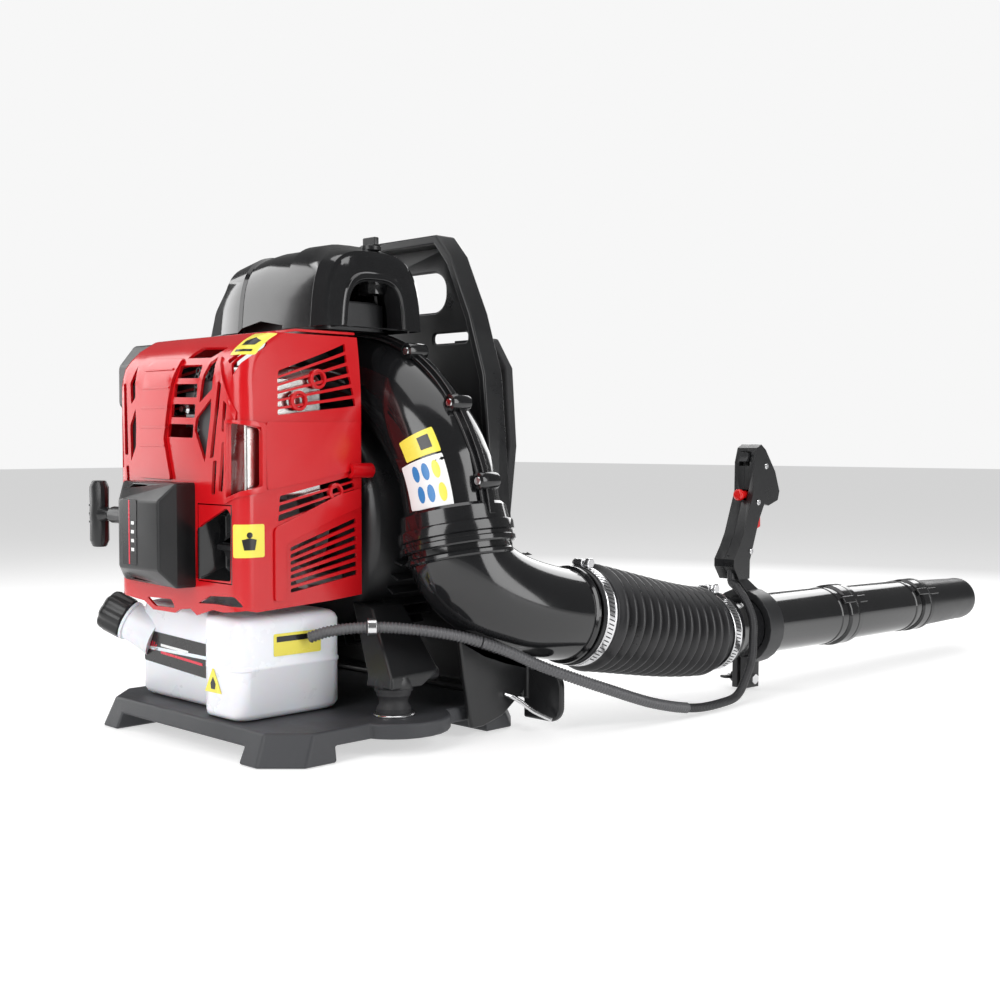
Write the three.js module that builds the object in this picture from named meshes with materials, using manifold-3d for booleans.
// Backpack leaf blower with a 75.6 cc four-stroke engine, in millimetres, +Z up.
// +X is the duct side (the wearer's right), +Y is forward, where the backrest and the blowing
// tubes are, and -Y is the engine side. The machine stands on its base plate, and the tubes lie
// along +Y with the foot of the handle bracket on the ground.
// Every solid is built from the sizes below, then the whole group is moved so that its origin is
// at the centre of its footprint, on the ground.
import * as THREE from "three";
import { ConvexGeometry } from "three/addons/geometries/ConvexGeometry.js";
import { mergeVertices } from "three/addons/utils/BufferGeometryUtils.js";
import Module from "manifold-3d";

const wasm = await Module();
wasm.setup();

// ---------------------------------------------------------------- driving dimensions
const gap = 0.3; // between touching pieces
const running = 0.6; // round a piece that turns or slides
const shell = 3; // wall of the moulded shells

// Base plate
const baseWidth = 306;
const baseDepth = 282;
const baseTop = 28;
const baseSkirt = 14; // height of the arches between the feet
const baseFlare = 12; // how far the skirt leans out at the ground, front and rear
const footLength = 52;
const lobeRadius = 50;
const lobeOut = 135;
const antiVibrationRadius = 15.5;
const antiVibrationHeight = 25;
const antiVibrationOut = 139;
const antiVibrationY = -11;

// Crank line, parallel to Y
const crankX = -16;
const crankZ = 195;
const shaftRadius = 8;

// Engine
const cylinderY = -66;
const bore = 51;
const stroke = 37;
const rodLength = 62;
const pinDrop = 18; // gudgeon pin below the piston's crown
const pistonHeight = 34;
const crankcaseRadius = 46;
const crankcaseWall = 6;
const crankcaseFront = -98;
const crankcaseRear = -32;
const finRadius = 42;
const finCount = 6;
const flywheelRadius = 56;
const flywheelWidth = 14;

// Fan housing
const fanFront = 0;
const fanDepth = 104;
const fanRadius = 112;
const intakeRadius = 64;
const impellerRadius = 98;
const impellerWidth = 58;
const bladeCount = 11;
const scrollStart = 250; // degrees round the crank line, counted up from +X
const scrollEnd = -2.4;
const scrollStartRadius = 106;
const scrollKneeRadius = 154;
const scrollKnee = 45;
const scrollEndRadius = 169;
const throatRadius = 20;
const ductRadius = 45;
const outletTilt = 13; // of the outlet, outwards from straight down
const collarRadius = 53;
const collarHeight = 26;

// Elbow, hose and tubes
const elbowRadius = 48;
const elbowWall = 3;
const elbowOut = 32; // from the outlet's centre to the elbow's mouth
const elbowForward = 116;
const elbowDrop = 81;
const elbowEndRadius = 45;
const elbowSwingIn = 6; // degrees that the elbow swings towards the wearer
const cuffLength = 24;
const hoseWall = 2.6;
const cuffClearance = 1.6; // between the elbow's spigot and the hose
const hoseRibs = 14;
const ribHeight = 6.5;
const hoseRun = 230; // from the elbow's mouth to the hose's end, along Y
const hoseDrop = 36;
const hoseAside = 7;
const tubeTilt = 1; // degrees that the straight tubes fall towards their tip
const tubeRadius = 33.5;
const hoseOverTube = 7; // the hose's end radius over the tubes' radius
const hoseEndRadius = tubeRadius + hoseOverTube;
const tubeWall = 2.2;
const swivelLength = 240;
const straightLength = 180;
const nozzleLength = 136;
const nozzleTipRadius = 26.5;
const jointOverlap = 28;

// Handle
const bracketAt = 60; // along the tubes, from the hose's end
const bracketWidth = 26;
const bracketThick = 8;
const gripHalf = 13;

// Engine cover
const coverLeft = -119;
const coverRight = 87;
const coverFront = -139;
const coverRear = -5;
const coverBottom = 137;
const coverTop = 376;

// Recoil starter
const recoilLeft = -98;
const recoilRight = 17;
const recoilHeight = 94;
const recoilFront = -174;
const recoilRear = -106;
const reelRadius = 24;
const reelWidth = 14;

// Fuel tank
const tankLeft = -122;
const tankRight = 80;
const tankFront = -137;
const tankRear = -22;
const tankHeight = 92;
const tankStep = 22; // how far the left part of the front stands back
const capRadius = 21;
const capLength = 26;

// Air cleaner
const cleanerLeft = -132;
const cleanerRight = 82;
const cleanerFront = -47;
const cleanerRear = 77;
const cleanerBottom = 380;
const cleanerTop = 462;

// Backrest
const backrestFront = 128;
const backrestThick = 9.5;
const backrestTop = 480;
const backrestTopHalf = 62;
const backrestShoulder = 340;
const backrestHalf = 142;
const flangeDepth = 26;
const wingHalf = 208; // hip wings at the foot of the backrest
const wingLow = 8;
const wingHigh = 58;

const hookRadius = 2.4;

// Control cable
const conduitRadius = 5.5;
const sleeveRadius = 4.5;

// ---------------------------------------------------------------- building blocks
const V = (x, y, z) => new THREE.Vector3(x, y, z);
const AXES = { x: V(1, 0, 0), y: V(0, 1, 0), z: V(0, 0, 1) };
const radians = THREE.MathUtils.degToRad;

/** A closed three.js geometry as a solid that can be joined and cut. */
function solid(geometry) {
  const bare = geometry.clone();
  bare.deleteAttribute("normal");
  bare.deleteAttribute("uv");
  const merged = mergeVertices(bare, 1e-3);
  const index = merged.index.array;
  const kept = [];
  for (let i = 0; i < index.length; i += 3) {
    const [a, b, c] = [index[i], index[i + 1], index[i + 2]];
    if (a !== b && b !== c && c !== a) kept.push(a, b, c);
  }
  const mesh = new wasm.Mesh({
    numProp: 3,
    vertProperties: new Float32Array(merged.attributes.position.array),
    triVerts: new Uint32Array(kept),
  });
  return new wasm.Manifold(mesh);
}

const join = (first, ...others) => others.reduce((sum, other) => sum.add(other), first);
const cut = (first, ...others) => others.reduce((left, other) => left.subtract(other), first);

function block(x0, x1, y0, y1, z0, z1) {
  const box = new THREE.BoxGeometry(x1 - x0, y1 - y0, z1 - z0);
  return solid(box.translate((x0 + x1) / 2, (y0 + y1) / 2, (z0 + z1) / 2));
}

/** A round bar or cone between two points. */
function rod(from, to, radius, sides = 24, endRadius = radius) {
  const along = to.clone().sub(from);
  const bar = new THREE.CylinderGeometry(endRadius, radius, along.length(), sides);
  const turn = new THREE.Quaternion().setFromUnitVectors(AXES.y, along.clone().normalize());
  const middle = from.clone().add(to).multiplyScalar(0.5);
  return solid(bar.applyQuaternion(turn).translate(middle.x, middle.y, middle.z));
}

/** A tube with an open bore between two points. */
function pipe(from, to, outer, inner, sides = 24) {
  const reach = to.clone().sub(from).normalize();
  const hole = rod(from.clone().sub(reach), to.clone().add(reach), inner, sides);
  return cut(rod(from, to, outer, sides), hole);
}

/** A turned solid: profile holds [radius, distance along the axis] and ends on the axis. */
function turned(profile, origin, direction, sides = 24) {
  const points = profile.map(([r, h]) => new THREE.Vector2(r, h));
  const lathe = new THREE.LatheGeometry(points, sides);
  const turn = new THREE.Quaternion().setFromUnitVectors(AXES.y, direction.clone().normalize());
  return solid(lathe.applyQuaternion(turn).translate(origin.x, origin.y, origin.z));
}

/** An outline extruded along X, Y or Z between two places on that axis. */
function prism(axis, outline, from, to) {
  const points = (list) => list.map(([u, v]) => new THREE.Vector2(u, v));
  const shape = outline instanceof THREE.Shape ? outline : new THREE.Shape(points(outline));
  const depth = to - from;
  const body = new THREE.ExtrudeGeometry(shape, { depth, bevelEnabled: false, curveSegments: 6 });
  if (axis === "z") body.translate(0, 0, from);
  if (axis === "y") body.rotateX(Math.PI / 2).translate(0, to, 0);
  if (axis === "x") {
    body.applyMatrix4(new THREE.Matrix4().makeBasis(AXES.y, AXES.z, AXES.x)).translate(from, 0, 0);
  }
  return solid(body);
}

/** A rectangle with round corners as a shape, for prism(). */
function roundedRectangle(u0, u1, v0, v1, radius) {
  const r = Math.min(radius, (u1 - u0) / 2 - 0.01, (v1 - v0) / 2 - 0.01);
  const shape = new THREE.Shape();
  shape.moveTo(u0 + r, v0);
  shape.lineTo(u1 - r, v0).absarc(u1 - r, v0 + r, r, -Math.PI / 2, 0);
  shape.lineTo(u1, v1 - r).absarc(u1 - r, v1 - r, r, 0, Math.PI / 2);
  shape.lineTo(u0 + r, v1).absarc(u0 + r, v1 - r, r, Math.PI / 2, Math.PI);
  shape.lineTo(u0, v0 + r).absarc(u0 + r, v0 + r, r, Math.PI, Math.PI * 1.5);
  return shape;
}

/** The convex solid round a list of [x, y, z] points. */
const hull = (points) => solid(new ConvexGeometry(points.map(([x, y, z]) => V(x, y, z))));

/** A round bar bent along a curve. radiusAt(t) is its radius at t from 0 to 1. */
function bent(curve, radiusAt, sides, steps, side) {
  const bar = new THREE.CylinderGeometry(1, 1, 1, sides, steps);
  const place = bar.attributes.position;
  for (let i = 0; i < place.count; i += 1) {
    const t = THREE.MathUtils.clamp(place.getY(i) + 0.5, 0, 1);
    const along = curve.getTangentAt(t);
    const first = side.clone().addScaledVector(along, -side.dot(along)).normalize();
    const second = first.clone().cross(along);
    const point = curve.getPointAt(t);
    point.addScaledVector(first, place.getX(i) * radiusAt(t));
    point.addScaledVector(second, place.getZ(i) * radiusAt(t));
    place.setXYZ(i, point.x, point.y, point.z);
  }
  return solid(bar);
}

/** A cable along a smooth curve through its points. */
function cable(points, radius, sides, steps) {
  const curve = new THREE.CatmullRomCurve3(points.map(([x, y, z]) => V(x, y, z)), false, "centripetal");
  const section = new THREE.Shape();
  for (let i = 0; i < sides; i += 1) {
    const angle = (i / sides) * Math.PI * 2;
    const corner = [Math.cos(angle) * radius, Math.sin(angle) * radius];
    if (i === 0) section.moveTo(...corner);
    else section.lineTo(...corner);
  }
  return solid(new THREE.ExtrudeGeometry(section, { steps, extrudePath: curve, bevelEnabled: false }));
}

const machine = new THREE.Group();
const cordNodes = new Set();

/** Drops the slivers, of a few cubic millimetres, that joining near-equal faces can leave. */
function withoutSlivers(body) {
  const smallest = 5;
  const parts = body.decompose().filter((part) => Math.abs(part.volume()) > smallest);
  return parts.length > 1 ? join(...parts) : parts[0];
}

/** Adds one named sub-part to a group. */
function piece(name, body, material, group = machine) {
  const { vertProperties, triVerts } = withoutSlivers(body).getMesh();
  const geometry = new THREE.BufferGeometry();
  geometry.setAttribute("position", new THREE.BufferAttribute(new Float32Array(vertProperties), 3));
  geometry.setIndex(new THREE.BufferAttribute(new Uint32Array(triVerts), 1));
  const mesh = new THREE.Mesh(geometry, material);
  mesh.name = name;
  group.add(mesh);
}

const finish = (color, roughness, metalness = 0) =>
  new THREE.MeshStandardMaterial({ color, roughness, metalness, flatShading: true });

const RED = finish(0xc4121a, 0.28);
const BLACK_GLOSS = finish(0x0b0b0d, 0.15);
const BLACK_MATTE = finish(0x1b1b1d, 0.55);
const GREY_PLASTIC = finish(0x3a3b3e, 0.6);
const TANK_WHITE = finish(0xe9e9ee, 0.35);
const RUBBER = finish(0x232426, 0.8);
const STEEL = finish(0xc8c9cb, 0.3, 1);
const ALUMINIUM = finish(0xa9abad, 0.45, 1);
const CAST = finish(0x77797b, 0.6, 0.8);
const FOAM = finish(0x2c2c2f, 0.95);
const BUTTON_RED = finish(0xe0141a, 0.3);

const mirrored = (sign, from, to) => (sign > 0 ? [from, to] : [-to, -from]);
const onCrank = (y) => V(crankX, y, crankZ);

// ---------------------------------------------------------------- base plate and mounts
function basePlate() {
  const halfW = baseWidth / 2;
  const halfD = baseDepth / 2;
  const chamfer = 30;
  const outline = (grow) => {
    const [w, d] = [halfW + grow / 3, halfD + grow];
    return [
      [-w, -d + chamfer], [-w + chamfer, -d], [w - chamfer, -d], [w, -d + chamfer],
      [w, d - chamfer], [w - chamfer, d], [-w + chamfer, d], [-w, d - chamfer],
    ];
  };
  const at = (grow, z) => outline(grow).map(([x, y]) => [x, y, z]);
  const flareAtSkirt = baseFlare * (1 - baseSkirt / baseTop);
  let body = hull([...at(0, baseTop), ...at(baseFlare, 0)]);
  const clear = 2;
  const [innerW, innerD] = [halfW - footLength, halfD - footLength];
  body = cut(
    body,
    block(-innerW, innerW, -halfD - baseFlare - clear, halfD + baseFlare + clear, -clear, baseSkirt),
    block(-halfW - baseFlare, halfW + baseFlare, -innerD, innerD, -clear, baseSkirt),
    block(-innerW, innerW, -innerD, innerD, -clear, baseTop - shell * 2),
  );
  for (const side of [-1, 1]) {
    const out = side * lobeOut;
    body = join(body, rod(V(out, antiVibrationY + 6, baseSkirt), V(out, antiVibrationY + 6, baseTop),
      lobeRadius));
    body = cut(body, block(...mirrored(side, 0, halfW + flareAtSkirt), -innerD, innerD, -clear,
      baseSkirt));
  }
  piece("base_plate", body, GREY_PLASTIC);
}

function antiVibrationMounts() {
  for (const [side, name] of [[-1, "left"], [1, "right"]]) {
    const x = side * antiVibrationOut;
    const foot = V(x, antiVibrationY, baseTop);
    const profile = [
      [0, 0], [antiVibrationRadius + 2, 0], [antiVibrationRadius + 2, 3], [antiVibrationRadius, 4],
      [antiVibrationRadius, antiVibrationHeight], [0, antiVibrationHeight],
    ];
    piece(`lower_mount_${name}`, turned(profile, foot, AXES.z, 24), RUBBER);
  }
}

// ---------------------------------------------------------------- fan housing
const fanRear = fanFront + fanDepth;
const seam = fanFront + 54;
const outlet = V(
  crankX + scrollEndRadius * Math.cos(radians(scrollEnd)),
  seam,
  crankZ + scrollEndRadius * Math.sin(radians(scrollEnd)),
);
const outletAxis = V(Math.sin(radians(outletTilt)), 0, -Math.cos(radians(outletTilt)));
const outletAt = (distance) => outlet.clone().addScaledVector(outletAxis, distance);

/** The scroll's centre distance and tube radius at an angle round the crank line. */
function scrollAt(angle) {
  const early = (scrollStart - angle) / (scrollStart - scrollKnee);
  const late = (scrollKnee - angle) / (scrollKnee - scrollEnd);
  const distance = angle > scrollKnee
    ? THREE.MathUtils.lerp(scrollStartRadius, scrollKneeRadius, early)
    : THREE.MathUtils.lerp(scrollKneeRadius, scrollEndRadius, late);
  const radius = THREE.MathUtils.lerp(throatRadius, ductRadius, Math.min(early, 1));
  return { distance, radius };
}

function scrollPoint(angle, out = 0) {
  const reach = scrollAt(angle).distance + out;
  return V(crankX + reach * Math.cos(radians(angle)), seam, crankZ + reach * Math.sin(radians(angle)));
}

function scrollCurve() {
  const stations = 14;
  const points = [];
  for (let i = 0; i < stations; i += 1) {
    points.push(scrollPoint(THREE.MathUtils.lerp(scrollStart, scrollEnd + 14, i / (stations - 1))));
  }
  points.push(outlet.clone());
  return new THREE.CatmullRomCurve3(points, false, "centripetal");
}

function fanHousing() {
  const curve = scrollCurve();
  const radiusAt = (t) => scrollAt(THREE.MathUtils.lerp(scrollStart, scrollEnd, t)).radius;
  const sides = 14;
  const steps = 16;
  const drum = rod(onCrank(fanFront), onCrank(fanRear), fanRadius + shell, 30);
  const drumHollow = rod(onCrank(fanFront + shell), onCrank(fanRear - shell), fanRadius, 30);
  const duct = bent(curve, radiusAt, sides, steps, AXES.y);
  const ductHollow = bent(curve, (t) => radiusAt(t) - shell, sides, steps, AXES.y);
  const collar = rod(outletAt(-collarHeight * 0.6), outletAt(collarHeight * 0.4), collarRadius, 24);
  const neckHole = rod(outletAt(-collarHeight * 0.35), outletAt(collarHeight), elbowRadius + running,
    24);
  const throatHole = rod(outletAt(-collarHeight), outletAt(0), ductRadius - shell, 24);

  let body = join(drum, duct, collar);
  const bosses = [226, 192, 158, 126, 62, 40, 18];
  for (const angle of bosses) {
    const { radius } = scrollAt(angle);
    const centre = scrollPoint(angle, radius + 3);
    const half = 10;
    body = join(body, rod(centre.clone().setY(seam - half), centre.clone().setY(seam + half), 7, 8));
  }
  // Legs down to the anti-vibration mounts, one on each side
  for (const side of [-1, 1]) {
    const foot = side * antiVibrationOut;
    const top = baseTop + antiVibrationHeight + gap;
    const reach = antiVibrationRadius + 3;
    const inner = crankX + side * fanRadius * 0.78;
    body = join(body, hull([
      [foot - reach, antiVibrationY - reach, top], [foot + reach, antiVibrationY - reach, top],
      [foot - reach, antiVibrationY + reach, top], [foot + reach, antiVibrationY + reach, top],
      [foot - reach, antiVibrationY - reach, top + 8], [foot + reach, antiVibrationY - reach, top + 8],
      [foot - reach, seam - 12, top + 8], [foot + reach, seam - 12, top + 8],
      [inner, fanFront + 2, top + 70], [inner + side * 14, fanFront + 2, top + 70],
      [inner, seam - 12, top + 70], [inner + side * 14, seam - 12, top + 70],
    ]));
  }
  body = cut(body, drumHollow, ductHollow, neckHole, throatHole);
  body = cut(
    body,
    rod(onCrank(fanFront - 1), onCrank(fanFront + shell + 1), shaftRadius + running, 24),
    rod(onCrank(fanRear - shell - 1), onCrank(fanRear + 1), intakeRadius, 30),
  );
  const far = 400;
  const half = gap / 2;
  piece("fan_housing_front", body.intersect(block(-far, far, -far, seam - half, 0, far)), BLACK_GLOSS);
  const rear = body.intersect(block(-far, far, seam + half, far, 0, far));
  piece("fan_housing_rear", join(rear, intakeGrille()), BLACK_GLOSS);
}

/** The finger guard moulded across the fan's intake. */
function intakeGrille() {
  const reach = intakeRadius + 1;
  const front = fanRear - shell;
  const [back, bar] = [front + shell, 3];
  let body = pipe(onCrank(front), onCrank(back), reach, reach - 5, 30);
  for (const radius of [24, 42]) {
    body = join(body, pipe(onCrank(front), onCrank(back), radius, radius - bar, 20));
  }
  for (let i = 0; i < 6; i += 1) {
    const spoke = new THREE.BoxGeometry(reach * 2 - 4, shell, bar).rotateY((i * Math.PI) / 6);
    body = join(body, solid(spoke.translate(crankX, (front + back) / 2, crankZ)));
  }
  return body;
}

function impeller() {
  const back = fanFront + 30;
  const front = back + impellerWidth;
  let body = join(
    rod(onCrank(back), onCrank(back + 4), impellerRadius, 32),
    rod(onCrank(back - 6), onCrank(front - 14), 19, 24),
  );
  for (let i = 0; i < bladeCount; i += 1) {
    const [inner, outer] = [16, impellerRadius - 1];
    const blade = new THREE.BoxGeometry(outer - inner, impellerWidth - 4, 3);
    blade.translate((inner + outer) / 2, (impellerWidth - 4) / 2,
      0).rotateY((i / bladeCount) * Math.PI * 2);
    body = join(body, solid(blade.translate(crankX, back + 3.5, crankZ)));
  }
  body = cut(body, rod(onCrank(back - 8), onCrank(front), shaftRadius + gap, 24));
  piece("impeller", body, GREY_PLASTIC);
}

// ---------------------------------------------------------------- engine
const throwRadius = stroke / 2;
const pistonRadius = bore / 2 - gap;
const crownAtRest = crankZ - throwRadius + rodLength + pinDrop; // bottom dead centre
const crankcaseTop = crankZ + crankcaseRadius + 3;
const headTop = crownAtRest + stroke + 16;

function crankcase() {
  let body = join(
    rod(V(crankX, crankcaseFront, crankZ), V(crankX, crankcaseRear, crankZ), crankcaseRadius, 24),
    block(crankX - 38, crankX + 38, cylinderY - 30, crankcaseRear, crankZ, crankcaseTop),
    block(crankX - 34, crankX + 34, crankcaseFront, crankcaseRear, crankZ - crankcaseRadius - 8,
    crankZ),
  );
  // Bearing housing that reaches back to the fan housing
  body = join(body, rod(onCrank(crankcaseRear - 1), onCrank(crankcaseRear + 4), 22, 24));
  for (const [side, height] of [[-1, -50], [1, -50], [-1, 52], [1, 52]]) {
    const x = crankX + side * 62;
    body = join(
      body,
      rod(V(x, crankcaseRear - 10, crankZ + height), V(x, fanFront - gap, crankZ + height), 7, 12),
      hull([
        [x - 7, crankcaseRear - 10, crankZ + height - 7], [x + 7, crankcaseRear - 10,
        crankZ + height - 7],
        [x - 7, crankcaseRear - 10, crankZ + height + 7], [x + 7, crankcaseRear - 10,
        crankZ + height + 7],
        [x - 7, crankcaseRear, crankZ + height - 7], [x + 7, crankcaseRear, crankZ + height + 7],
        [crankX + side * 30, crankcaseRear - 10, crankZ + height * 0.4],
        [crankX + side * 30, crankcaseRear, crankZ + height * 0.4],
      ]),
    );
  }
  const [innerFront, innerRear] = [crankcaseFront + crankcaseWall, crankcaseRear - crankcaseWall];
  body = cut(
    body,
    rod(onCrank(innerFront), onCrank(innerRear), crankcaseRadius - crankcaseWall, 24),
    rod(V(crankX, cylinderY, crankZ), V(crankX, cylinderY, crankcaseTop + 1), bore / 2, 24),
    rod(onCrank(crankcaseFront - 1), onCrank(crankcaseRear + 6), shaftRadius + running, 24),
  );
  piece("crankcase", body, CAST);
}

function cylinder() {
  const base = crankcaseTop + gap;
  const centre = V(crankX, cylinderY, 0);
  let body = rod(centre.clone().setZ(base), centre.clone().setZ(headTop), bore / 2 + 6, 24);
  const pitch = (headTop - base - 6) / finCount;
  for (let i = 0; i < finCount; i += 1) {
    const low = base + 4 + i * pitch;
    body = join(body, rod(centre.clone().setZ(low), centre.clone().setZ(low + 2.5), finRadius, 18));
  }
  body = cut(body, rod(centre.clone().setZ(base - 1), centre.clone().setZ(headTop - 8), bore / 2, 24));
  piece("cylinder", body, ALUMINIUM);
}

function rockerCover() {
  const low = headTop + gap;
  const half = 30;
  const [front, back] = [cylinderY - half, cylinderY + half];
  let body = prism("z", roundedRectangle(crankX - half, crankX + half, front, back, 10), low, low + 34);
  body = cut(body, prism(
    "z", roundedRectangle(crankX - half + 3, crankX + half - 3, front + 3, back - 3, 8), low - 1,
    low + 31,
  ));
  piece("rocker_cover", body, BLACK_MATTE);
}

function piston() {
  const centre = V(crankX, cylinderY, 0);
  const bottom = crownAtRest - pistonHeight;
  let body = rod(centre.clone().setZ(bottom), centre.clone().setZ(crownAtRest), pistonRadius, 32);
  body = cut(body, rod(centre.clone().setZ(bottom - 1), centre.clone().setZ(crownAtRest - 6),
    pistonRadius - 4, 24));
  const pinZ = crownAtRest - pinDrop;
  body = join(body, rod(V(crankX, cylinderY - 23, pinZ), V(crankX, cylinderY + 23, pinZ), 5, 12));
  piece("piston", body, ALUMINIUM);
}

function crankshaft() {
  const reelEnd = crankcaseFront - 12;
  const fanEnd = fanFront + 30 + impellerWidth - 8;
  const webRadius = throwRadius + 6;
  const [webNear, webFar] = [8, 15];
  const pin = crankZ - throwRadius;
  const body = join(
    rod(onCrank(reelEnd), onCrank(cylinderY - webNear), shaftRadius, 24),
    rod(onCrank(cylinderY + webNear), onCrank(fanEnd), shaftRadius, 24),
    rod(onCrank(cylinderY - webFar), onCrank(cylinderY - webNear), webRadius, 24),
    rod(onCrank(cylinderY + webNear), onCrank(cylinderY + webFar), webRadius, 24),
    rod(V(crankX, cylinderY - webFar, pin), V(crankX, cylinderY + webFar, pin), 5, 12),
  );
  piece("crankshaft", body, STEEL);
}

function flywheel() {
  const rear = fanFront - 6;
  const front = rear - flywheelWidth;
  let body = cut(
    rod(onCrank(front), onCrank(rear), flywheelRadius, 30),
    rod(onCrank(front - 1), onCrank(front + flywheelWidth * 0.6), flywheelRadius - 8, 30),
  );
  body = join(body, rod(onCrank(front - 2), onCrank(rear), 16, 24));
  body = cut(body, rod(onCrank(front - 4), onCrank(rear + 1), shaftRadius + gap, 24));
  piece("flywheel", body, CAST);
}

function ignition() {
  const [low, rear] = [crankZ + flywheelRadius + 2, fanFront - 2];
  const coil = join(
    block(crankX - 22, crankX + 22, rear - 18, rear, low, low + 10),
    block(crankX - 16, crankX + 16, rear - 22, rear, low + 10, low + 34),
  );
  piece("ignition_coil", coil, BLACK_MATTE);
  const plugFrom = V(crankX, cylinderY - finRadius - gap, headTop - 5);
  const plug = turned(
    [[0, 0], [7, 0], [7, 5], [5, 7], [5, 18], [3, 20], [3, 24], [0, 24]], plugFrom, V(0, -1, 0), 12,
  );
  piece("spark_plug", plug, STEEL);
}

function muffler() {
  const [left, right] = [crankX + finRadius + 3, coverRight - shell - 4];
  const [front, back, low, high] = [coverFront + shell + 8, coverRear - 40, 226, 342];
  let body = hull([
    [left, front, low], [right, front, low], [left, back, low], [right, back, low],
    [left, front, high - 12], [right, front, high - 12], [left, back, high - 12], [right, back,
    high - 12],
    [left + 6, front + 8, high], [right - 6, front + 8, high], [left + 6, back - 8, high],
    [right - 6, back - 8, high],
  ]);
  body = cut(body, block(left + 2, right - 2, front + 2, back - 2, low + 2, high - 14));
  const tail = V((left + right) / 2, front + 26, low);
  body = cut(body, rod(tail.clone().setZ(low - 2), tail.clone().setZ(low + 4), 9, 16));
  piece("muffler", body, STEEL);
}

// ---------------------------------------------------------------- intake side
const carbRight = crankX - finRadius - 4;
const carbLeft = carbRight - 46;
const carbY = cylinderY + 14;
const carbZ = 306;

function carburettor() {
  const half = 17;
  let body = join(
    block(carbLeft, carbRight, carbY - half, carbY + half, carbZ - half, carbZ + half),
    rod(V(carbLeft + 8, carbY, carbZ - half - 16), V(carbLeft + 8, carbY, carbZ), 14, 20),
  );
  body = cut(body, rod(V(carbLeft - 1, carbY, carbZ), V(carbRight + 1, carbY, carbZ), 9, 20));
  piece("carburettor", body, CAST);
}

const intakeLeft = -222;
const intakeRight = coverLeft - 1;
const intakeFront = -86;
const intakeRear = -18;
const intakeLow = 296;
const intakeHigh = 374;
const primerRadius = 10;
const primerAt = V(intakeLeft - 1, (intakeFront + intakeRear) / 2 + 6, intakeLow + 48);

function intakeCover() {
  const shapeAt = (x, shrink) => [
    [x, intakeFront + shrink, intakeLow + 16 + shrink], [x, intakeFront + shrink,
    intakeHigh - 22 - shrink],
    [x, intakeFront + 18 + shrink, intakeHigh - shrink], [x, intakeRear - 14 - shrink,
    intakeHigh - shrink],
    [x, intakeRear - shrink, intakeHigh - 18 - shrink], [x, intakeRear - shrink,
    intakeLow + 12 + shrink],
    [x, intakeRear - 12 - shrink, intakeLow + shrink], [x, intakeFront + 16 + shrink,
    intakeLow + shrink],
  ];
  const outer = hull([...shapeAt(intakeLeft, 12), ...shapeAt(intakeLeft + 14, 0),
    ...shapeAt(intakeRight, 0)]);
  const inner = hull([
    ...shapeAt(intakeLeft + shell, 14), ...shapeAt(intakeLeft + 16, shell),
    ...shapeAt(intakeRight + 1, shell),
  ]);
  const slot = [(intakeFront + intakeRear) / 2 - 26, (intakeFront + intakeRear) / 2 - 6];
  const window = block(intakeLeft - 2, intakeLeft + 20, ...slot, intakeLow + 26, intakeLow + 38);
  const primerHole = rod(primerAt, primerAt.clone().setX(intakeLeft + shell + 6),
    primerRadius + running, 20);
  piece("intake_cover", cut(outer, inner, window, primerHole), BLACK_MATTE);
}

function chokeAndPrimer() {
  const y = (intakeFront + intakeRear) / 2;
  const lever = join(
    block(intakeLeft - 10, intakeLeft + 24, y - 19, y - 13, intakeLow + 29, intakeLow + 35),
    rod(V(intakeLeft + 24, y - 16, intakeLow + 28), V(intakeLeft + 24, y - 16, intakeLow + 36), 7, 16),
  );
  piece("choke_lever", lever, BLACK_MATTE);
  const r = primerRadius;
  const bulb = turned([[0, -3], [r, -3], [r, 3], [r - 2, 9], [r - 6, 12], [0, 13]], primerAt, V(-1,
    0, 0), 20);
  piece("primer_bulb", bulb, RUBBER);
}

// ---------------------------------------------------------------- air cleaner
const cleanerProfile = (shrink) => {
  const [front, rear, low, high] = [
    cleanerFront + shrink, cleanerRear - shrink, cleanerBottom, cleanerTop - 14 - shrink,
  ];
  return [
    [front, low], [front + 19, high - 10], [front + 34, high - 3], [rear - 36, high],
    [rear - 17, high - 11], [rear - 7, high - 37], [rear, low],
  ];
};

function airCleaner() {
  const floor = 3;
  const caseLow = cleanerBottom + gap;
  const [left, right] = [cleanerLeft + 48, cleanerRight - 30];
  const [front, rear] = [cleanerFront + 24, cleanerRear - 20];
  let box = prism("z", roundedRectangle(left, right, front, rear, 12), caseLow, caseLow + 26);
  box = cut(box, prism(
    "z", roundedRectangle(left + 3, right - 3, front + 3, rear - 3, 9), caseLow + floor, caseLow + 27,
  ));
  box = cut(box, rod(V(crankX, 20, caseLow - 1), V(crankX, 20, caseLow + floor + 1), 12, 20));
  piece("air_cleaner_case", box, BLACK_MATTE);
  const filter = prism(
    "z", roundedRectangle(left + 4, right - 4, front + 4, rear - 4, 8), caseLow + floor + gap,
    caseLow + 28,
  );
  piece("air_filter", filter, FOAM);
}

const knobCentre = V(cleanerRight - 26, cleanerRear - 44, 0);
const knobSeat = cleanerTop - 6;

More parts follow.
